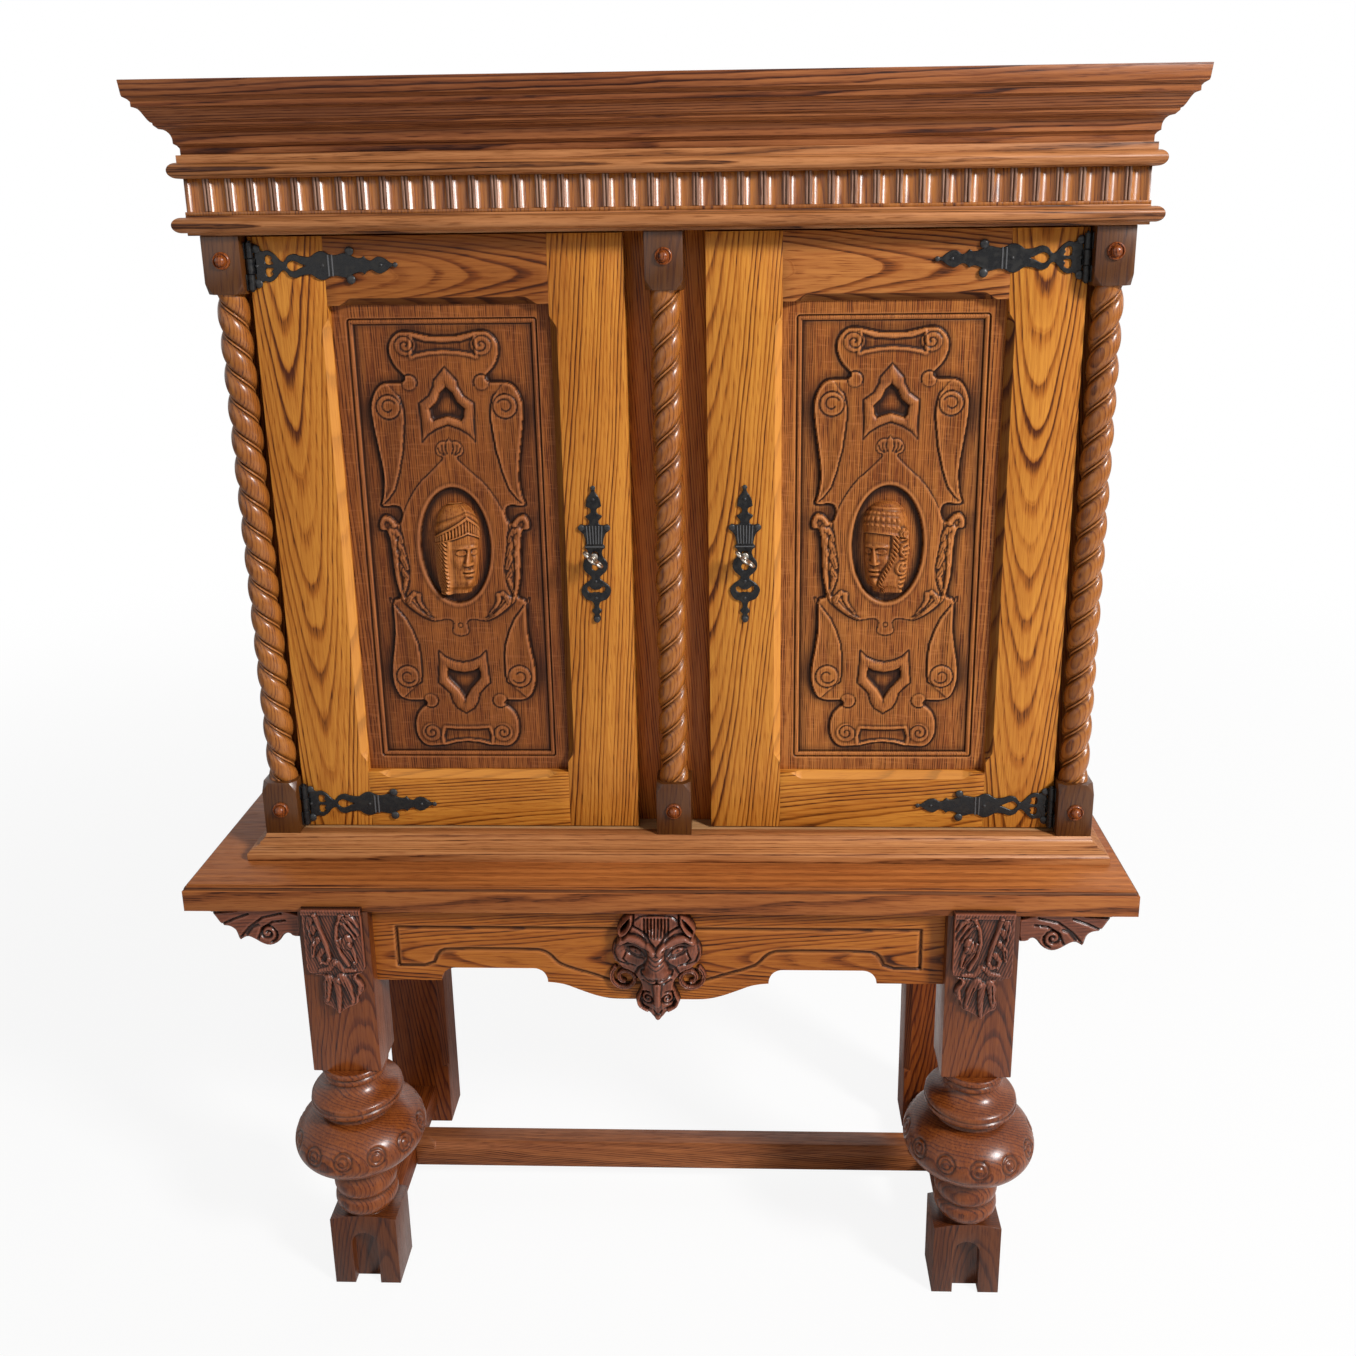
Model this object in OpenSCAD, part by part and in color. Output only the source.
// Oak china cabinet in the Flemish Renaissance revival style: a two-door
// cupboard with rope-twist columns, standing loose on a table-like stand.
// Millimetres, +Z up. The front faces -Y. The origin is under the middle of
// the whole object, on the floor.

/* [Stand] */
// Width of the stand's top
top_w = 1170; // [1130:5:1400]
// Depth of the stand's top
top_d = 384; // [340:2:480]
// Thickness of the stand's top
top_t = 34; // [26:1:44]
// Height of the square foot of a front leg
foot_h = 102; // [85:1:130]
// Height of the turned part of a front leg
turn_h = 231; // [200:1:290]
// Height of the square block of a front leg
block_h = 229; // [190:1:280]
// Width of a leg
leg_w = 88; // [80:1:96]
// Depth of a leg
leg_d = 62; // [56:1:72]
// Diameter of the turned bulb
bulb_d = 168; // [130:1:190]
// From the end of the top to the outer face of a leg
leg_inset = 141; // [60:1:200]
// Depth of a rear post
post_d = 62; // [44:1:70]
// From the rear edge of the top to the back of a rear post
post_inset = 8; // [2:1:20]
// Thickness of the front apron
apron_t = 22; // [16:1:30]
// How far the front apron stands behind the faces of the legs
apron_recess = 17; // [8:1:26]
// Height of the front apron at its ends
apron_h = 106; // [90:1:130]
// Width and height of a runner between a foot and a rear post
runner_w = 44; // [30:1:60]
// Height of the runners and of the stretcher
runner_h = 36; // [26:1:44]
// Underside of the runners above the floor
runner_z = 30; // [16:1:44]
// Depth of the cross stretcher
stretcher_d = 38; // [26:1:50]
// From the front edge of the top to the front of the stretcher
stretcher_y = 184; // [150:1:220]
// Thickness of a side bracket
bracket_t = 20; // [12:1:28]
// How far a side bracket stands behind the faces of the legs
bracket_recess = 8; // [2:1:20]

/* [Cabinet case] */
// Width over the corner blocks
cab_w = 1052; // [900:2:1080]
// From the front edge of the stand's top to the corner blocks
cab_setback = 84; // [60:1:110]
// From the rear edge of the stand's top to the back of the cabinet
cab_back_gap = 4; // [0:1:20]
// How far the cabinet stands to the right of the stand's centre line
cab_shift = 20; // [0:1:30]
// Height of the plinth
plinth_h = 29; // [24:1:44]
// Height of the door opening
open_h = 746; // [640:1:860]
// Height of the lower bead
lower_bead_h = 22; // [20:1:30]
// Height of the fluted frieze
frieze_h = 40; // [30:1:60]
// Height of the upper bead with its fillet
upper_bead_h = 26; // [24:1:36]
// Height of the crown moulding
crown_h = 75; // [72:1:100]
// Width of a corner block
corner_w = 44; // [40:1:50]
// Diameter of a twist column
column_d = 37; // [28:1:38]
// Height of an upper corner block
upper_block_h = 66; // [50:1:90]
// Height of a lower corner block
lower_block_h = 70; // [50:1:90]
// How far the frieze stands out past the case at each side
frieze_side = 10; // [4:1:20]
// How far the frieze stands in front of the corner blocks
frieze_front = 3; // [1:1:10]
// Thickness of the panels of the case
board_t = 18; // [14:1:24]
// Thickness of the back
back_t = 8; // [5:1:12]
// Distance between two flutes of the frieze
flute_pitch = 25; // [18:0.5:36]

/* [Doors] */
// How far the doors stand behind the faces of the corner blocks
door_recess = 20; // [14:1:30]
// Thickness of a door
door_t = 22; // [20:1:28]
// Gap between a door and its surround
door_gap = 2; // [1.5:0.1:3]
// Half of the gap between the two doors, where the centre column stands
centre_half = 47; // [40:1:60]
// Width of the stile on the hinge side
outer_stile_w = 87; // [64:1:100]
// Width of the stile on the lock side
inner_stile_w = 88; // [70:1:110]
// Height of the top rail of a door
top_rail_h = 79; // [60:1:95]
// Height of the bottom rail of a door
bottom_rail_h = 75; // [60:1:95]
// Width of the stopped chamfers round a panel
chamfer_w = 8; // [5:0.5:12]
// Thickness of a door panel
panel_t = 10; // [9.5:0.1:10.5]
// Depth of the grooves that hold the panel
groove = 7; // [5:0.5:9]
// Height of the carving on the panel
relief = 3; // [1.5:0.1:3.4]

/* [Ironwork] */
// Length of a strap plate
strap_l = 172; // [150:1:190]
// Thickness of the iron plates
iron_t = 2.5; // [1.5:0.1:3]
// Radius of a hinge knuckle
knuckle_r = 4.5; // [4:0.1:5.5]
// Radius of a hinge pin
pin_r = 2.5; // [2:0.1:3]
// Length of a hinge over its three knuckles
hinge_l = 54; // [42:1:60]
// Height of an escutcheon
escutcheon_h = 170; // [140:1:190]
// Width of a lock case
lock_w = 62; // [50:1:72]
// Height of a lock case
lock_h = 84; // [60:1:110]
// Depth of a lock case
lock_t = 14; // [12:0.5:18]
// Travel of a bolt
bolt_throw = 12; // [8:0.5:14]
// Width of a key's bow
key_bow_w = 30; // [22:1:36]
// Distance of a shelf from the floor of the case
shelf_z = 366; // [150:1:560]

/* [Hidden] */

// Clearances and small sizes
touch_gap = 0.5;        // running clearance behind a door and beside a knuckle
mitre_gap = 0.2;        // hairline at a mitre
fit_gap = 0.05;         // radial clearance of a pin in its bore
slide_gap = 0.3;        // clearance round a bolt
panel_gap = 0.2;        // play of a panel in its groove
frame_in = 16;          // how far a moulding reaches in behind its face
crown_out = 42;         // how far the crown stands out past the frieze
post_t = 22;            // thickness of the corner posts and the centre stile
lap = 12;               // how far a post reaches in behind a door
stile_lap = 9;          // how far the centre stile reaches behind a door
chamfer_stop = 20;      // from a corner of the opening to the end of a chamfer
panel_recess = 11;      // from the face of a door to its panel
carving_t = 12;         // thickness of a leg's carved plaque
carving_w = 75;
carving_lift = 8;       // how far a plaque laps the edge of the top
mask_t = 40;            // how far the mask stands out from the apron
pin_in = 7;             // depth of a shelf pin in its hole
pin_out = 10;           // length of a shelf pin under its shelf
shelf_pin_r = 3;
shelf_play = 1;
key_r = 3;
hinge_low = 31;         // from the foot of a door to its lower hinge
hinge_high = 33;
key_slant = 40;         // slant of a key's bow at rest

// Stand
stand_z = foot_h + turn_h + block_h + top_t;
under_z = stand_z - top_t;
leg_x = top_w / 2 - leg_inset - leg_w / 2;
post_y = top_d - post_inset - post_d;
bulb_r = bulb_d / 2;

// Cabinet
cab_d = top_d - cab_setback - cab_back_gap;
half = cab_w / 2;
block_d = door_recess + door_t + touch_gap;
block_x = half - corner_w / 2;
back_y = cab_d - back_t;
open_z = plinth_h + open_h;
bead_z = open_z + lower_bead_h;
frieze_z = bead_z + frieze_h;
neck_z = frieze_z + upper_bead_h;
roof_z = neck_z + crown_h;
frieze_half = half + frieze_side;
side_in = half - corner_w + 22;
side_out = side_in + board_t;
inner_y = block_d + post_t;

// Doors
edge_x = half - corner_w - door_gap;
stile_o = edge_x - outer_stile_w;
stile_i = centre_half + inner_stile_w;
door_z0 = plinth_h + door_gap;
door_z1 = open_z - door_gap;
rail_z0 = door_z0 + bottom_rail_h;
rail_z1 = door_z1 - top_rail_h;
panel_x = (stile_o + stile_i) / 2;
panel_y = door_recess + panel_recess;
field_w = stile_o - stile_i;
field_h = rail_z1 - rail_z0;
panel_z = (rail_z0 + rail_z1) / 2;
hinge_x = half - corner_w - knuckle_r - touch_gap;
hinge_y = door_recess - knuckle_r - touch_gap;
hinge_z0 = door_z0 + hinge_low;
hinge_z1 = door_z1 - hinge_high;
lock_x = centre_half + inner_stile_w / 2;
lock_z = plinth_h + open_h / 2 - 8;
lock_y = door_recess + door_t;
lock_side = centre_half + stile_lap + 4;
bolt_y = lock_y + lock_t / 2;
bolt_t = 6;
bolt_h = 14;
bolt_z = lock_z + 20;
bolt_l = lock_w - bolt_throw - 8;

// The origin is the middle of the whole object's outline
reach = frieze_half + crown_out;
left_x = min(-top_w / 2, cab_shift - reach);
right_x = max(top_w / 2, cab_shift + reach);
mid_x = (left_x + right_x) / 2;
front_y = min(leg_d / 2 - bulb_r, -carving_t, apron_recess - mask_t,
              cab_setback - frieze_front - crown_out);
mid_y = (front_y + top_d) / 2;

module at_stand() translate([-mid_x, -mid_y, 0]) children();
module at_cabinet() translate([cab_shift - mid_x, cab_setback - mid_y, stand_z]) children();
module on_side(side) mirror([side < 0 ? 1 : 0, 0, 0]) children();

// A box from its lowest corner
module box(x0, x1, y0, y1, z0, z1)
    translate([x0, y0, z0]) cube([x1 - x0, y1 - y0, z1 - z0]);

// A flat outline, drawn in X and Z, made solid from y0 towards +Y
module slab_y(y0, t) translate([0, y0 + t, 0]) rotate([90, 0, 0]) linear_extrude(t) children();

// A round bar along Y
module bar_y(r, y0, y1, fn = 32)
    translate([0, y1, 0]) rotate([90, 0, 0]) cylinder(r = r, h = y1 - y0, $fn = fn);

// A round bar along X
module bar_x(r, x0, x1, fn = 32)
    translate([x0, 0, 0]) rotate([0, 90, 0]) cylinder(r = r, h = x1 - x0, $fn = fn);

// Half of an outline and its mirror image
module both() { children(); mirror([1, 0, 0]) children(); }

// A whole outline from the points of its half with X > 0
function whole(p) = concat(p, [for (i = [len(p) - 1:-1:0]) if (p[i][0] > 0) [-p[i][0], p[i][1]]]);

// Points of a smooth step from (x0, z0) to (x1, z1)
function ease(x0, z0, x1, z1, n = 8) =
    [for (i = [0:n]) [x0 + (x1 - x0) * i / n, z0 + (z1 - z0) * (1 - cos(180 * i / n)) / 2]];

// An oval of four arcs: a across, b up, e the radius of its ends
module oval(a, b, e) {
    r = (pow(a, 2) - pow(e, 2) + pow(b - e, 2)) / (2 * (a - e));
    k = r / norm([r - a, b - e]);
    band = (b - e) * k;
    for (s = [-1, 1]) translate([0, s * (b - e)]) circle(r = e, $fn = 48);
    intersection() {
        translate([r - a, 0]) circle(r = r, $fn = 96);
        translate([a - r, 0]) circle(r = r, $fn = 96);
        square([2 * a, 2 * band], center = true);
    }
}

// Mitred mouldings: a front and two returns of one profile. The profile is
// drawn with X outwards from the face and Y up. w is half the width of the
// box that it runs round, and y is the front of that box.
module mitre_side(w, y, g) linear_extrude(2 * w, center = true)
    polygon([[g, y + w], [2 * w + g, y - w], [2 * w + g, y + w]]);
module moulding(w, y, d, z) {
    out = 60;
    translate([0, 0, z]) {
        difference() {
            translate([-w - out, y, 0]) mirror([0, 1, 0]) rotate([90, 0, 90])
                linear_extrude(2 * (w + out)) children();
            both() mitre_side(w, y, -mitre_gap / 2);
        }
        both() intersection() {
            translate([w, y - out, 0]) mirror([0, 1, 0]) rotate([90, 0, 0])
                linear_extrude(d - y + out) children();
            mitre_side(w, y, mitre_gap / 2);
        }
    }
}

// Stand: top

bead_r = 5;
bead_in = 5.5;
top_step = 7;
module table_top() color("sienna") at_stand() {
    w = top_w / 2;
    z = stand_z - top_step;
    box(-w, w, 0, top_d, under_z, z);
    box(-w + bead_in, w - bead_in, bead_in, top_d, z - 1, stand_z);
    translate([0, bead_in, z]) bar_x(bead_r, -w + bead_in, w - bead_in);
    both() {
        translate([w - bead_in, 0, z]) bar_y(bead_r, bead_in, top_d);
        translate([w - bead_in, bead_in, z]) sphere(r = bead_r, $fn = 32);
    }
}

// Stand: apron and rails

apron_half = leg_x - leg_w / 2;
apron_rise = 18;
apron_drop = 25;
step_x = 266;
wave_x0 = 48;
wave_x1 = 148;
function apron_edge(end, up) = concat(
    [[wave_x0 - 8, -apron_h - apron_drop + up]],
    ease(wave_x0, -apron_h - apron_drop + up, wave_x1, -apron_h + apron_rise + up, 10),
    ease(step_x - 8, -apron_h + apron_rise + up, step_x + 6, -apron_h + up, 6),
    [[end, -apron_h + up]]);
module apron_outline(end, top, up) polygon(whole(concat(apron_edge(end, up), [[end, top]])));
module front_apron() color("peru") at_stand() {
    line_in = 28;
    line_w = 3;
    line_d = 1.5;
    translate([0, 0, under_z]) difference() {
        slab_y(apron_recess, apron_t) apron_outline(apron_half, 0, 0);
        slab_y(apron_recess - 1, 1 + line_d) difference() {
            apron_outline(apron_half - line_in, -35, 21);
            apron_outline(apron_half - line_in - line_w, -35 - line_w, 21 + line_w);
        }
    }
}
module rear_rail() color("peru") at_stand()
    box(-apron_half, apron_half, post_y + 20, post_y + 20 + apron_t, under_z - apron_h, under_z);
module side_rail(side) color("peru") at_stand() on_side(side)
    box(leg_x - apron_t / 2, leg_x + apron_t / 2, leg_d, post_y, under_z - apron_h, under_z);

// Stand: bracket

bracket_w = 117;
scroll_x = 43;
scroll_z = -36;
module bracket_outline() difference() {
    polygon([[0, 0], [0, -41], [12, -41], [16, -36], [22, -37], [29, -47], [36, -52], [44, -54],
        [52, -51], [58, -47], [64, -43], [70, -41], [76, -44], [80, -47], [83, -34], [86, -30],
        [91, -27], [100, -26], [104, -20], [109, -11], [113, -7], [bracket_w, -5], [bracket_w, 0]]);
    translate([scroll_x, scroll_z]) difference() {
        circle(r = 10, $fn = 32);
        circle(r = 6, $fn = 32);
        translate([-12, 0]) square([24, 12]);
    }
}
module side_bracket(side) color("saddlebrown") at_stand() on_side(side)
    translate([leg_x + leg_w / 2, 0, under_z])
        slab_y(bracket_recess, bracket_t) bracket_outline();

// Stand: legs

turn_ref = 231;
belly = 122;
belly_low = 43;
belly_high = 50;
ring_r = leg_w / 2 - 1;
neck_r = ring_r - 9;
disc_r = bulb_r * 0.7;
function up(z) = z * turn_h / turn_ref;
function lift(p) = [for (q = p) [q[0], up(q[1])]];
module turned_outline() {
    polygon(lift(concat([[0, 0], [ring_r - 13, 0], [ring_r - 13, 7], [ring_r - 8, 11],
        [ring_r - 4, 16], [ring_r - 2, 23], [ring_r - 3, 31], [ring_r - 6, 36], [ring_r - 6, 39],
        [ring_r - 4, 42], [ring_r - 2, 48], [ring_r - 2, 54], [ring_r - 5, 62], [ring_r - 7, 66],
        [ring_r - 7, 82]],
        [for (a = [-63:7:0]) [bulb_r * cos(a), belly + belly_low * sin(a)]],
        [for (a = [7:8:55]) [bulb_r * cos(a), belly + belly_high * sin(a)]],
        [[bulb_r * 0.56, 170], [disc_r - 3, 174], [disc_r, 177], [disc_r, 182], [disc_r - 1, 184],
        [disc_r - 2, 189], [disc_r - 8, 193], [ring_r, 198], [neck_r + 3, 203], [neck_r, 209],
        [neck_r + 4, 211], [neck_r + 6, 215], [neck_r + 4, 219], [neck_r + 4, 221],
        [ring_r, 224], [ring_r, 228], [ring_r - 2, turn_ref], [0, turn_ref]])));
}
module turning() rotate_extrude($fn = 96) turned_outline();
roundels = 12;
roundel_r = 12;
roundel_a = 13;          // height of the roundels' ring on the bulb, as an angle
roundel_cut = 3.5;       // depth of the roundels' rings under the bulb's tangent plane
module roundel(k) {
    lift = atan2(bulb_r * sin(roundel_a), belly_high * cos(roundel_a));
    rotate([0, 0, k * 360 / roundels])
        translate([bulb_r * cos(roundel_a), 0, up(belly + belly_high * sin(roundel_a))])
            rotate([0, 90 - lift, 0]) translate([0, 0, -roundel_cut])
                for (r = [roundel_r, roundel_r - 5]) linear_extrude(roundel_cut + 5) difference() {
                    circle(r = r, $fn = 32);
                    circle(r = r - 2, $fn = 32);
                }
}
niche_w = 34;
niche_d = 14;
module foot_block() {
    dome = 6;
    r = (pow(leg_w / 2, 2) + pow(dome, 2)) / (2 * dome);
    difference() {
        intersection() {
            box(-leg_w / 2, leg_w / 2, 0, leg_d, 0, foot_h + dome);
            translate([0, 0, foot_h + dome - r]) bar_y(r, -1, leg_d + 1, 96);
        }
        translate([0, 0, foot_h - 21 - niche_w / 2]) bar_y(niche_w / 2, -1, niche_d);
        box(-niche_w / 2, niche_w / 2, -1, niche_d, -1, foot_h - 21 - niche_w / 2);
    }
}
module leg_front(side) color("saddlebrown") at_stand() on_side(side) translate([leg_x, 0, 0]) {
    box(-leg_w / 2, leg_w / 2, 0, leg_d, foot_h + turn_h, under_z);
    translate([0, leg_d / 2, foot_h]) difference() {
        turning();
        for (k = [0:roundels - 1]) roundel(k);
    }
    foot_block();
}

// Stand: carved plaque on a leg

module leaf(l, w) polygon([[0, 0], [w / 2, l * 0.35], [w * 0.35, l * 0.75], [0, l],
    [-w * 0.35, l * 0.75], [-w / 2, l * 0.35]]);
module leg_carving(side) color("saddlebrown") at_stand() on_side(side) {
    w = carving_w / 2;
    ground = 7;
    translate([leg_x, 0, under_z]) {
        slab_y(-ground, ground) polygon(whole([[w, carving_lift], [w, -88], [w - 5, -92],
            [w - 9, -108], [w - 20, -126], [0, -142]]));
        slab_y(-carving_t, carving_t) both() {
            polygon([[5, 4], [13, 4], [7, -40], [10, -62], [4, -80], [-1, -90], [-1, -66]]);
            translate([26, -8]) rotate(196) leaf(34, 15);
            translate([17, -36]) rotate(190) leaf(38, 13);
            translate([14, -88]) rotate(172) leaf(30, 14);
        }
        slab_y(-carving_t, carving_t) translate([0, -96]) rotate(180) leaf(40, 15);
    }
}

// Stand: rear posts, runners and stretcher

post_chamfer = 9;
module rear_post(side) color("saddlebrown") at_stand() on_side(side) {
    x = leg_x - leg_w / 2;
    difference() {
        box(x, x + leg_w, post_y, post_y + post_d, 0, under_z);
        translate([x, post_y, foot_h]) linear_extrude(under_z - apron_h - foot_h - 30)
            polygon([[-1, -1], [post_chamfer, -1], [post_chamfer, 0], [0, post_chamfer],
                [-1, post_chamfer]]);
    }
}
module runner(side) color("saddlebrown") at_stand() on_side(side)
    box(leg_x - runner_w / 2, leg_x + runner_w / 2, leg_d, post_y, runner_z, runner_z + runner_h);
module cross_stretcher() color("saddlebrown") at_stand() {
    x = leg_x - runner_w / 2;
    stop = 28;
    c = 9;
    difference() {
        box(-x, x, stretcher_y, stretcher_y + stretcher_d, runner_z, runner_z + runner_h);
        translate([-x + stop, stretcher_y, runner_z + runner_h]) rotate([90, 0, 90])
            linear_extrude(2 * (x - stop)) polygon([[-1, 1], [-1, -c], [0, -c], [c, 0], [c, 1]]);
    }
}

// Stand: animal mask on the apron

module mask_ball(x, z, r, y) translate([x, apron_recess - y, z]) sphere(r = r, $fn = 32);
module apron_mask() color("saddlebrown") at_stand() translate([0, 0, under_z]) intersection() {
    box(-64, 64, apron_recess - mask_t, apron_recess, -156, 0);
    union() {
        slab_y(apron_recess - 14, 14)
            polygon(whole([[0, -1], [30, -5], [46, -1], [56, -12], [50, -30], [57, -48], [50, -70],
                [56, -86], [48, -100], [30, -98], [24, -112], [16, -118], [14, -134],
                [6, -146], [0, -150]]));
        both() {
            mask_ball(43, -12, 12, 10);
            mask_ball(22, -34, 15, 12);
            mask_ball(27, -62, 17, 14);
            mask_ball(38, -90, 13, 9);
            mask_ball(12, -82, 12, 24);
        }
        mask_ball(0, -26, 20, 10);
        mask_ball(0, -62, 17, 23);
        mask_ball(0, -100, 14, 10);
        mask_ball(0, -126, 10, 8);
    }
}

// Case: plinth and carcass

module plinth_profile() polygon([[-frame_in, 0], [20, 0], [20, 9], [17, 13], [12, 15], [7, 17],
    [7, 20], [4, 21.5], [1.5, plinth_h - 4], [0, plinth_h], [-frame_in, plinth_h]]);
module plinth_moulding() color("saddlebrown") at_cabinet()
    moulding(half, 0, cab_d, 0) plinth_profile();
module case_bottom() color("sienna") at_cabinet()
    box(frame_in - half, half - frame_in, frame_in, cab_d, plinth_h - board_t, plinth_h);
module case_top() color("sienna") at_cabinet() {
    w = frieze_half - frame_in;
    box(-w, w, frame_in - frieze_front, back_y, open_z, open_z + board_t);
}
pin_y0 = inner_y + 40;
pin_y1 = back_y - 40;
pin_z = plinth_h + shelf_z - shelf_pin_r;
module pin_holes(x) for (y = [pin_y0, pin_y1]) translate([0, y, pin_z])
    bar_x(shelf_pin_r + fit_gap, x - pin_in, x + pin_in);
module case_side(side) color("sienna") at_cabinet() on_side(side) difference() {
    box(side_in, side_out, inner_y, cab_d, plinth_h, open_z);
    pin_holes(side_in);
}
module case_back() color("burlywood") at_cabinet() {
    w = frieze_half - frame_in;
    box(-side_in, side_in, back_y, cab_d, plinth_h, open_z);
    box(-w, w, back_y, cab_d, open_z, roof_z - dust_t - dust_drop);
}
module corner_post(side) color("saddlebrown") at_cabinet() on_side(side)
    box(half - corner_w - lap, side_out, block_d, inner_y, plinth_h, open_z);
module centre_stile() color("saddlebrown") at_cabinet() {
    w = centre_half + stile_lap;
    deep = bolt_throw + 2;
    difference() {
        box(-w, w, block_d, inner_y, plinth_h, open_z);
        both() box(w - deep, w + 1, bolt_y - bolt_t / 2 - 1, bolt_y + bolt_t / 2 + 1,
            bolt_z - bolt_h / 2 - 1, bolt_z + bolt_h / 2 + 1);
    }
}
module partition() color("sienna") at_cabinet() difference() {
    box(-board_t / 2, board_t / 2, inner_y, back_y, plinth_h, open_z);
    both() pin_holes(board_t / 2);
}

// Case: columns

twist_r = column_d / 2;
twist_lead = 74;
twist_h = open_h - upper_block_h - lower_block_h;
twist_points = 14;
groove_share = 0.28;
function twist_outline() = [for (i = [0:twist_points - 1]) let (a = 360 * i / twist_points,
    r = twist_r * (1 - groove_share + groove_share * cos(2 * a))) [r * cos(a), r * sin(a)]];
module strands(hand) {
    turns = twist_h / twist_lead;
    linear_extrude(twist_h, twist = hand * 360 * turns, slices = ceil(12 * turns),
        $fn = twist_points) polygon(twist_outline());
}
// A square block whose front corners are cut back towards the twist, at z = h
module corner_block(h) {
    c = 6;
    stop = 22;
    difference() {
        box(-corner_w / 2, corner_w / 2, 0, block_d, 0, h);
        both() translate([corner_w / 2, 0, h - stop]) linear_extrude(stop + 1)
            polygon([[1, -1], [-c, -1], [-c, 0], [0, c], [1, c]]);
    }
}
module column(x, hand) color("saddlebrown") at_cabinet() translate([x, 0, plinth_h]) {
    corner_block(lower_block_h);
    translate([0, block_d / 2, lower_block_h]) strands(hand);
    translate([0, 0, open_h]) mirror([0, 0, 1]) corner_block(upper_block_h);
}
boss_low = 33;
boss_high = 28;
module boss() rotate([90, 0, 0]) rotate_extrude($fn = 48) intersection() {
    union() {
        square([10, 2]);
        translate([8.5, 2]) circle(r = 1.5, $fn = 24);
        translate([0, 2]) circle(r = 6.8, $fn = 48);
    }
    square([10, 9]);
}
module column_bosses() color("saddlebrown") at_cabinet()
    for (x = [-block_x, 0, block_x], z = [plinth_h + boss_low, open_z - boss_high])
        translate([x, 0, z]) boss();

// Case: shelves

module shelf(side) color("sienna") at_cabinet() on_side(side)
    box(board_t / 2 + shelf_play, side_in - shelf_play, inner_y + 4, back_y - shelf_play,
        plinth_h + shelf_z, plinth_h + shelf_z + board_t);
module shelf_pins() color("goldenrod") at_cabinet() both()
    for (y = [pin_y0, pin_y1]) translate([0, y, pin_z]) {
        bar_x(shelf_pin_r, board_t / 2 - pin_in, board_t / 2 + pin_out);
        bar_x(shelf_pin_r, side_in - pin_out, side_in + pin_in);
    }

// Case: cornice

module lower_bead_profile() {
    r = 8.5;
    mid = lower_bead_h / 2 + 0.5;
    translate([-frame_in, 0]) square([frame_in + 1.5, lower_bead_h]);
    translate([0, mid - r]) square([5.5, 2 * r]);
    translate([5.5, mid]) circle(r = r, $fn = 48);
}
module lower_bead() color("sienna") at_cabinet()
    moulding(frieze_half, -frieze_front, cab_d, open_z) lower_bead_profile();
module upper_bead_profile() {
    r = 8.5;
    translate([-frame_in, 0]) square([frame_in, upper_bead_h]);
    translate([-1, 0]) square([5.5, 2 * r]);
    translate([4.5, r]) circle(r = r, $fn = 48);
    translate([-1, 2 * r]) square([5, upper_bead_h - 2 * r - 1]);
}
module upper_bead() color("sienna") at_cabinet()
    moulding(frieze_half, -frieze_front, cab_d, frieze_z) upper_bead_profile();
module crown_profile() {
    lip = crown_h - 15;
    polygon(concat([[-frame_in, 0], [0, 0], [0, 6], [2, 9], [5, 11], [5, 14]],
        [for (a = [0:15:75]) [14 - 9 * cos(a), 14 + 12 * sin(a)]],
        [[14, 26], [15, 26], [19, 30], [19, 32]],
        ease(19, 32, 31, 47, 6),
        [[34, 48], [34, 53]],
        [[36, 55.5], [40, lip - 2], [40.5, lip], [crown_out, crown_h], [-frame_in, crown_h]]));
}
module crown_moulding() color("saddlebrown") at_cabinet()
    moulding(frieze_half, -frieze_front, cab_d, neck_z) crown_profile();
dust_t = 10;
dust_drop = 6;
module dust_board() color("burlywood") at_cabinet() {
    w = frieze_half - frame_in;
    box(-w, w, frame_in - frieze_front, cab_d, roof_z - dust_t - dust_drop, roof_z - dust_drop);
}

// Case: fluted frieze

flute_w = 17;
flute_d = 3.5;
quirk_w = 1.8;
strip_h = 4;            // plain strip under the flutes
strip_out = 1.5;
module flutes(length) {
    n = round(length / flute_pitch);
    p = length / n;
    r = (pow(flute_w / 2, 2) + pow(flute_d, 2)) / (2 * flute_d);
    for (i = [0:n - 1]) translate([(i + 0.5) * p - length / 2, r - flute_d, strip_h])
        cylinder(r = r, h = frieze_h, $fn = 32);
    for (i = [1:n - 1])
        box(i * p - length / 2 - quirk_w / 2, i * p - length / 2 + quirk_w / 2, -2.5, 1,
            strip_h, frieze_h + 1);
}
module frieze() color("saddlebrown") at_cabinet() difference() {
    moulding(frieze_half, -frieze_front, cab_d, bead_z) polygon([[-frame_in, 0],
        [strip_out, 0], [strip_out, strip_h], [0, strip_h], [0, frieze_h], [-frame_in, frieze_h]]);
    translate([0, -frieze_front, bead_z]) mirror([0, 1, 0]) flutes(2 * frieze_half);
    both() translate([frieze_half, (cab_d - frieze_front) / 2, bead_z])
        rotate([0, 0, -90]) flutes(cab_d + frieze_front);
}

// Doors: frame. A right door is drawn, and a left door is its mirror image.

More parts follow.
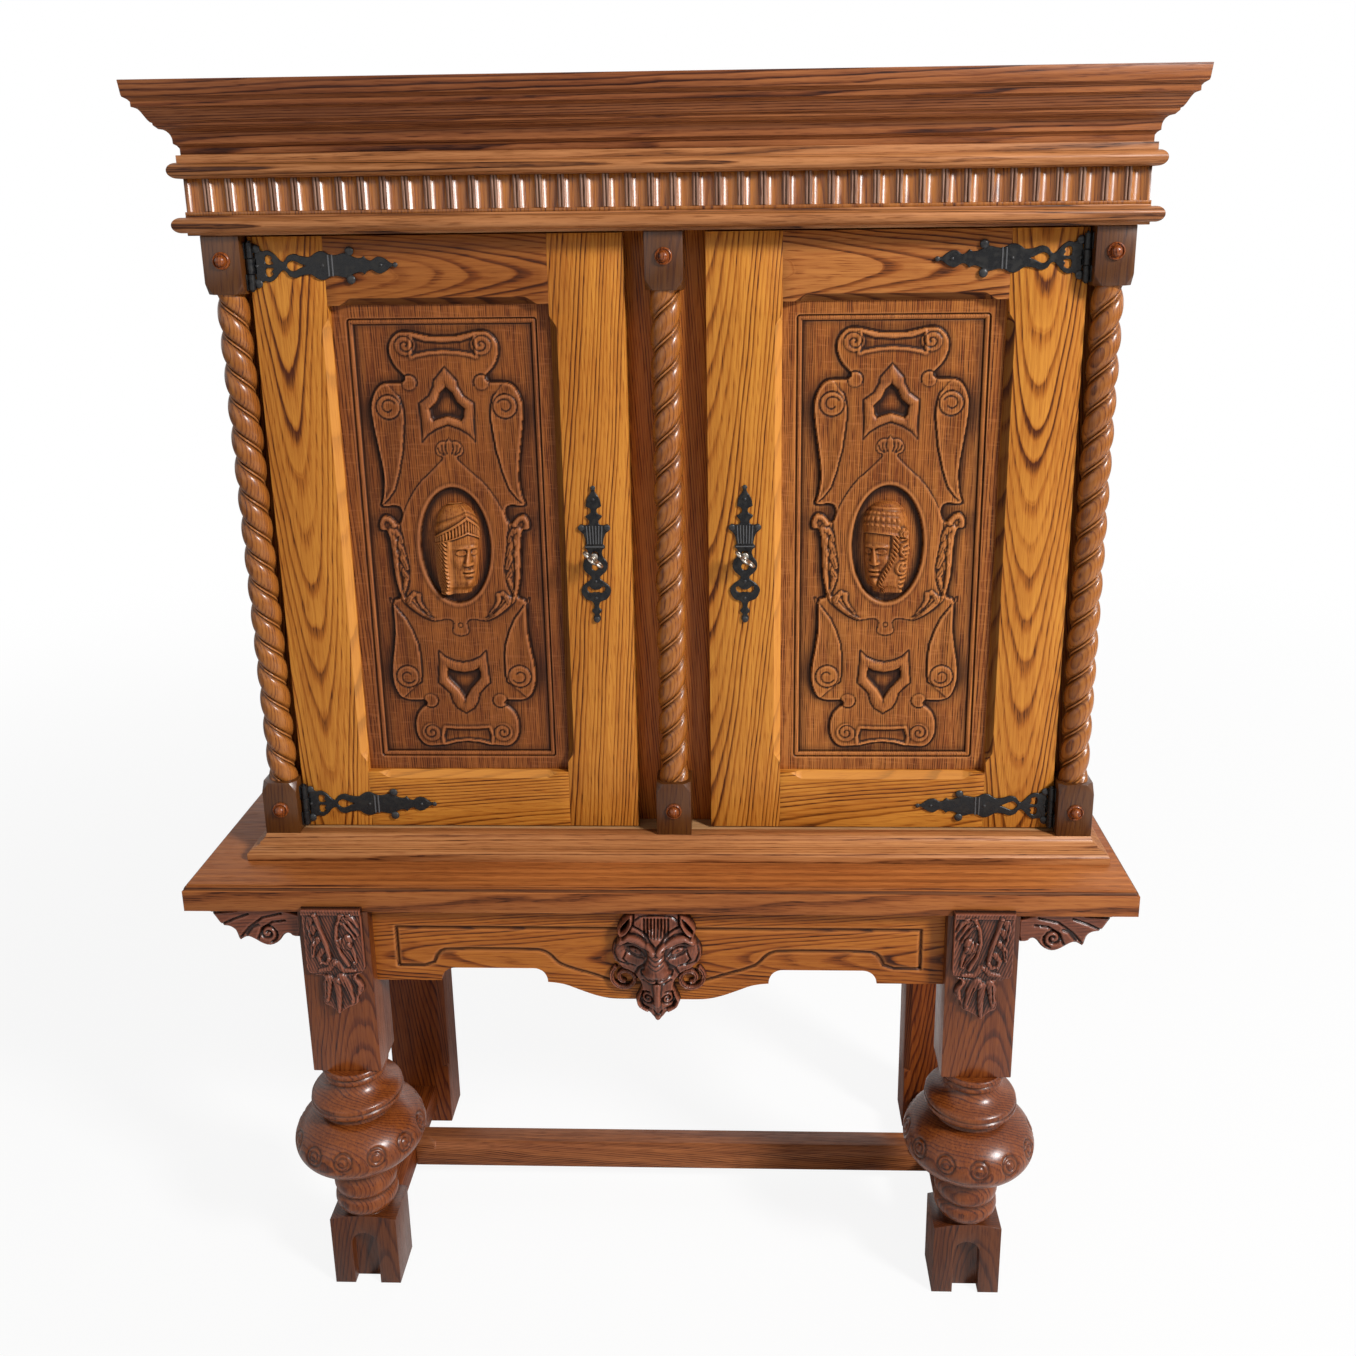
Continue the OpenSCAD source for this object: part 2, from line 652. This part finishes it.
tongue_t = 6;           // thickness of the panel where it sits in its grooves
module chamfer_cut(l) linear_extrude(l)
    polygon([[-1, -1], [chamfer_w, -1], [chamfer_w, 0], [0, chamfer_w], [-1, chamfer_w]]);
module panel_groove() box(panel_x - field_w / 2 - groove - panel_gap,
    panel_x + field_w / 2 + groove + panel_gap, panel_y - panel_gap / 2,
    panel_y + tongue_t + panel_gap / 2, panel_z - field_h / 2 - groove - panel_gap,
    panel_z + field_h / 2 + groove + panel_gap);
module stile(x0, x1, wall) difference() {
    box(x0, x1, door_recess, lock_y, door_z0, door_z1);
    translate([wall, door_recess, rail_z0 + chamfer_stop]) mirror([wall > x0 ? 1 : 0, 0, 0])
        chamfer_cut(field_h - 2 * chamfer_stop);
    panel_groove();
    translate([lock_x, 0, lock_z]) bar_y(key_r + 1, door_recess - 1, lock_y + 1);
}
module outer_stile(side) color("peru") at_cabinet() on_side(side)
    stile(stile_o, edge_x, stile_o);
module inner_stile(side) color("peru") at_cabinet() on_side(side)
    stile(centre_half, stile_i, stile_i);
module rail(z0, z1, wall) difference() {
    box(stile_i, stile_o, door_recess, lock_y, z0, z1);
    translate([stile_i + chamfer_stop, door_recess, wall]) rotate([90, 0, 90])
        linear_extrude(field_w - 2 * chamfer_stop) mirror([0, wall > z0 ? 1 : 0, 0])
            polygon([[-1, -1], [-1, chamfer_w], [0, chamfer_w], [chamfer_w, 0], [chamfer_w, -1]]);
    panel_groove();
}
module top_rail(side) color("peru") at_cabinet() on_side(side) rail(rail_z1, door_z1, rail_z1);
module bottom_rail(side) color("peru") at_cabinet() on_side(side)
    rail(door_z0, rail_z0, rail_z0);

// Doors: carved panel. Its outlines are half outlines about the carving's
// centre, X outwards and Y up.

oval_a = 44;
oval_b = 74;
oval_e = 26;
oval_deep = 5;          // depth of the medallion's ground
carve_z = 5;            // how far the carving's centre lies above the panel's
border_w = 16;          // flat border between the frame and the first step
step_w = 6.5;
step_d = 1.5;           // depth of the first step
field_d = 3.5;          // depth of the sunk field
head_out = 15;          // how far the head in the medallion stands out of the panel
function cartouche() = [[0, 252], [13, 252], [27, 255], [40, 258], [51, 258], [58, 254],
    [64, 246], [66, 235], [63, 224], [58, 215], [52, 209], [47, 203], [52, 198], [61, 198],
    [70, 198], [78, 196], [84, 190], [88, 182], [91, 172], [91, 158], [89, 140], [86, 119],
    [83, 98], [82, 82], [83, 70], [85, 58], [89, 48], [82, 46], [74, 48], [67, 47], [64, 43],
    [63, 37], [65, 30], [69, 24], [75, 31], [81, 36], [87, 36], [91, 31], [93, 24], [92, 17],
    [84, 17], [81, 9], [80, -10], [79, -29], [78, -45], [75, -58], [72, -70], [84, -72],
    [83, -90], [83, -112], [86, -134], [90, -156], [91, -172], [90, -184], [86, -196],
    [80, -203], [72, -206], [60, -206], [52, -205], [49, -210], [54, -214], [60, -219],
    [65, -228], [67, -240], [66, -252], [62, -261], [56, -267], [49, -269], [40, -268],
    [27, -267], [14, -263], [0, -262]];
function upper_shield() = [[0, 216], [7, 208], [14, 200], [15, 193], [21, 182], [33, 173],
    [32, 152], [32, 127], [25, 135], [14, 142], [0, 147]];
function upper_hollow() = [[0, 195], [9, 187], [14, 176], [23, 167], [21, 155], [17, 150],
    [7, 153], [0, 155]];
function lower_shield() = [[0, -154], [11, -152], [22, -147], [30, -139], [31, -158],
    [33, -182], [27, -187], [19, -196], [16, -208], [11, -216], [0, -223]];
function lower_hollow() = [[0, -166], [11, -164], [20, -160], [23, -167], [23, -175],
    [19, -181], [10, -191], [0, -207]];
module sunk(inset, depth) translate([panel_x, 0, panel_z]) slab_y(panel_y - 1, 1 + depth)
    square([field_w - 2 * inset, field_h - 2 * inset], center = true);
module bust_ball(z, r, out) translate([0, panel_y - out + r, z]) sphere(r = r, $fn = 48);
module door_panel(side) color("saddlebrown") at_cabinet() on_side(side) {
    floor_y = panel_y + field_d;
    back = 1;
    difference() {
        union() {
            box(panel_x - field_w / 2 - groove, panel_x + field_w / 2 + groove, panel_y,
                panel_y + tongue_t, panel_z - field_h / 2 - groove,
                panel_z + field_h / 2 + groove);
            box(panel_x - field_w / 2 + back, panel_x + field_w / 2 - back,
                panel_y + tongue_t - back, panel_y + panel_t, panel_z - field_h / 2 + back,
                panel_z + field_h / 2 - back);
        }
        sunk(border_w, step_d);
        sunk(border_w + step_w, field_d);
        translate([panel_x, 0, panel_z + carve_z]) slab_y(panel_y - 1, 1 + oval_deep)
            oval(oval_a, oval_b, oval_e);
    }
    translate([panel_x, 0, panel_z + carve_z]) {
        slab_y(floor_y - relief, relief + back / 2) difference() {
            polygon(whole(cartouche()));
            oval(oval_a + 1, oval_b + 1, oval_e + 1);
            polygon(whole(upper_hollow()));
            polygon(whole(lower_hollow()));
        }
        for (outline = [[upper_shield(), upper_hollow()], [lower_shield(), lower_hollow()]])
            slab_y(floor_y - relief - 1.5, 2) difference() {
                polygon(whole(outline[0]));
                polygon(whole(outline[1]));
            }
        intersection() {
            slab_y(panel_y - head_out, head_out + oval_deep + back / 2)
                oval(oval_a - 4, oval_b - 4, oval_e - 4);
            union() {
                bust_ball(20, 30, head_out);
                bust_ball(-8, 26, head_out - 1);
                bust_ball(-40, 34, head_out - 5);
            }
        }
    }
}

// Doors: ironwork

// Half of a strap plate's outline: half width and distance from the hinge
function strap_half() = [[15, 0], [15, 15], [18, 17], [16, 22], [17, 27], [12, 33], [5, 37],
    [4, 41], [9, 44], [13, 56], [8, 63], [7, 74], [12, 79], [14, 86], [11, 91], [13, 92],
    [13, 96], [8, 97], [9.5, 108], [13, 111], [9, 113], [6, 117], [5, 125], [9, 128],
    [4, 130], [3, 134], [7.5, 138], [6.5, 145], [1.2, 155], [1.2, 160]];
strap_ref = 160;
module strap_outline() {
    k = strap_l / strap_ref;
    scale([k, k]) difference() {
        union() {
            polygon(whole(strap_half()));
            both() translate([21, 18]) circle(r = 4, $fn = 24);
            both() translate([13, 114]) circle(r = 4.3, $fn = 24);
            translate([0, 158]) circle(r = 2.4, $fn = 24);
        }
        both() translate([8, 25.5]) circle(r = 3.6, $fn = 24);
        polygon([[-9, 21], [-6, 24], [6, 24], [9, 21], [0, 19.5]]);
        translate([0, 34]) circle(r = 1.8, $fn = 24);
        polygon(whole([[0, 45], [5.5, 53], [3, 60], [0.7, 69]]));
    }
}
third = hinge_l / 3;
module strap(z) translate([0, 0, z]) {
    start = edge_x - hinge_x + knuckle_r + 1;
    difference() {
        union() {
            slab_y(door_recess - iron_t, iron_t) intersection() {
                translate([edge_x, 0]) rotate(90) strap_outline();
                translate([0, -60]) square([edge_x - start, 120]);
            }
            box(edge_x - start - 1, hinge_x, door_recess - iron_t, door_recess - touch_gap,
                -third / 2 + 0.2, third / 2 - 0.2);
            translate([hinge_x, hinge_y, -third / 2 + 0.2])
                cylinder(r = knuckle_r, h = third - 0.4, $fn = 48);
        }
        translate([hinge_x, hinge_y, -third]) cylinder(r = pin_r + fit_gap, h = 2 * third, $fn = 48);
    }
    translate([edge_x - 84 * strap_l / strap_ref, door_recess - iron_t, 0]) intersection() {
        sphere(r = 2.5, $fn = 24);
        box(-3, 3, -3, 0, -3, 3);
    }
}
module door_straps(side) color("dimgray") at_cabinet() on_side(side)
    for (z = [hinge_z0, hinge_z1]) strap(z);
module hinge_pin(z) translate([0, 0, z]) {
    leaf_t = 1.5;
    face = half - corner_w;
    translate([hinge_x, hinge_y, -hinge_l / 2 - 2]) cylinder(r = pin_r, h = hinge_l + 4, $fn = 48);
    for (s = [-1, 1]) {
        z0 = s > 0 ? third / 2 : -hinge_l / 2;
        translate([hinge_x, hinge_y, z0]) cylinder(r = knuckle_r, h = third, $fn = 48);
        box(face - leaf_t, face, hinge_y - knuckle_r, door_recess + 6, z0, z0 + third);
    }
}
module hinge_pins() color("dimgray") at_cabinet() both()
    for (z = [hinge_z0, hinge_z1]) hinge_pin(z);

// Half of an escutcheon's outline from its top (z = 0) down
function escutcheon_half() = [[2.5, 0], [2, 5], [3, 7], [6.5, 14], [7.5, 19], [3.5, 22],
    [3.5, 27], [8, 30], [4, 34], [6, 39], [14, 38], [15.5, 42], [10, 45], [8.5, 58], [10.5, 60],
    [10.5, 64], [8.5, 66], [9, 71], [11, 75], [9, 85], [5.5, 90], [9, 94], [14, 98], [15, 105],
    [10, 113], [3.5, 116], [3, 122], [5, 125], [2, 128], [3.5, 132], [2.5, 136]];
escutcheon_ref = 136;
module escutcheon_outline() {
    k = escutcheon_h / escutcheon_ref;
    scale([k, k]) translate([0, escutcheon_ref / 2]) difference() {
        polygon(whole([for (p = escutcheon_half()) [p[0], -p[1]]]));
        both() translate([5.5, -103]) circle(r = 2.6, $fn = 24);
        translate([0, -80]) circle(r = 4, $fn = 24);
    }
}
module door_escutcheon(side) color("dimgray") at_cabinet() on_side(side)
    translate([lock_x, 0, lock_z]) difference() {
        slab_y(door_recess - iron_t, iron_t) escutcheon_outline();
        bar_y(key_r + 1, door_recess - iron_t - 1, door_recess + 1);
    }

// Doors: lock, bolt and key

lock_wall = 2;
module door_lock(side) color("goldenrod") at_cabinet() on_side(side) difference() {
    box(lock_side, lock_side + lock_w, lock_y, lock_y + lock_t, lock_z - lock_h / 2,
        lock_z + lock_h / 2);
    box(lock_side + lock_wall, lock_side + lock_w - lock_wall, lock_y + lock_wall,
        lock_y + lock_t - lock_wall, lock_z - lock_h / 2 + lock_wall, lock_z + lock_h / 2 - lock_wall);
    translate([lock_x, 0, lock_z]) bar_y(key_r + fit_gap, lock_y - 1, lock_y + lock_wall + 1);
    box(lock_side - 1, lock_side + lock_wall + 1, bolt_y - bolt_t / 2 - slide_gap,
        bolt_y + bolt_t / 2 + slide_gap, bolt_z - bolt_h / 2 - slide_gap,
        bolt_z + bolt_h / 2 + slide_gap);
}
module door_bolt(side) color("goldenrod") at_cabinet() on_side(side)
    box(lock_side, lock_side + bolt_l, bolt_y - bolt_t / 2, bolt_y + bolt_t / 2,
        bolt_z - bolt_h / 2, bolt_z + bolt_h / 2);
module key_bow() difference() {
    union() {
        translate([0, 13]) circle(r = 7, $fn = 32);
        both() translate([key_bow_w / 2 - 6, 12]) circle(r = 6, $fn = 32);
        translate([-4, 0]) square([8, 8]);
        translate([0, 20]) circle(r = 4, $fn = 32);
    }
    both() translate([key_bow_w / 2 - 7, 12]) circle(r = 3, $fn = 24);
    translate([0, 13]) circle(r = 3, $fn = 24);
}
module door_key(side) color("silver") at_cabinet() translate([side * lock_x, 0, lock_z]) {
    stem = 14;
    bow_t = 3;
    bar_y(key_r, door_recess - stem, lock_y + lock_t - lock_wall - slide_gap, 48);
    translate([0, door_recess - stem, 0]) bar_y(key_r + 1.5, 0, 3, 48);
    rotate([0, key_slant, 0]) {
        translate([0, door_recess - stem, -bow_t / 2]) rotate([0, 0, 180]) linear_extrude(bow_t)
            key_bow();
        box(-bow_t / 2, bow_t / 2, lock_y + lock_wall + 1, lock_y + lock_t - lock_wall - 1,
            -11, 0);
    }
}

table_top();
front_apron();
rear_rail();
side_rail(-1);  // side_rail_left
side_rail(1);  // side_rail_right
side_bracket(-1);  // side_bracket_left
side_bracket(1);  // side_bracket_right
leg_front(-1);  // leg_front_left
leg_front(1);  // leg_front_right
leg_carving(-1);  // leg_carving_left
leg_carving(1);  // leg_carving_right
rear_post(-1);  // rear_post_left
rear_post(1);  // rear_post_right
runner(-1);  // runner_left
runner(1);  // runner_right
cross_stretcher();
apron_mask();
plinth_moulding();
case_bottom();
case_side(-1);  // case_side_left
case_side(1);  // case_side_right
case_top();
case_back();
corner_post(-1);  // corner_post_left
corner_post(1);  // corner_post_right
centre_stile();
partition();
column(-block_x, -1);  // column_left
column(0, 1);  // column_centre
column(block_x, 1);  // column_right
column_bosses();
shelf(-1);  // shelf_left
shelf(1);  // shelf_right
shelf_pins();
lower_bead();
frieze();
upper_bead();
crown_moulding();
dust_board();
hinge_pins();
outer_stile(-1);  // door_left_outer_stile
inner_stile(-1);  // door_left_inner_stile
top_rail(-1);  // door_left_top_rail
bottom_rail(-1);  // door_left_bottom_rail
door_panel(-1);  // door_left_panel
door_straps(-1);  // door_left_straps
door_escutcheon(-1);  // door_left_escutcheon
door_lock(-1);  // door_left_lock
door_bolt(-1);  // door_left_bolt
door_key(-1);  // door_left_key
outer_stile(1);  // door_right_outer_stile
inner_stile(1);  // door_right_inner_stile
top_rail(1);  // door_right_top_rail
bottom_rail(1);  // door_right_bottom_rail
door_panel(1);  // door_right_panel
door_straps(1);  // door_right_straps
door_escutcheon(1);  // door_right_escutcheon
door_lock(1);  // door_right_lock
door_bolt(1);  // door_right_bolt
door_key(1);  // door_right_key
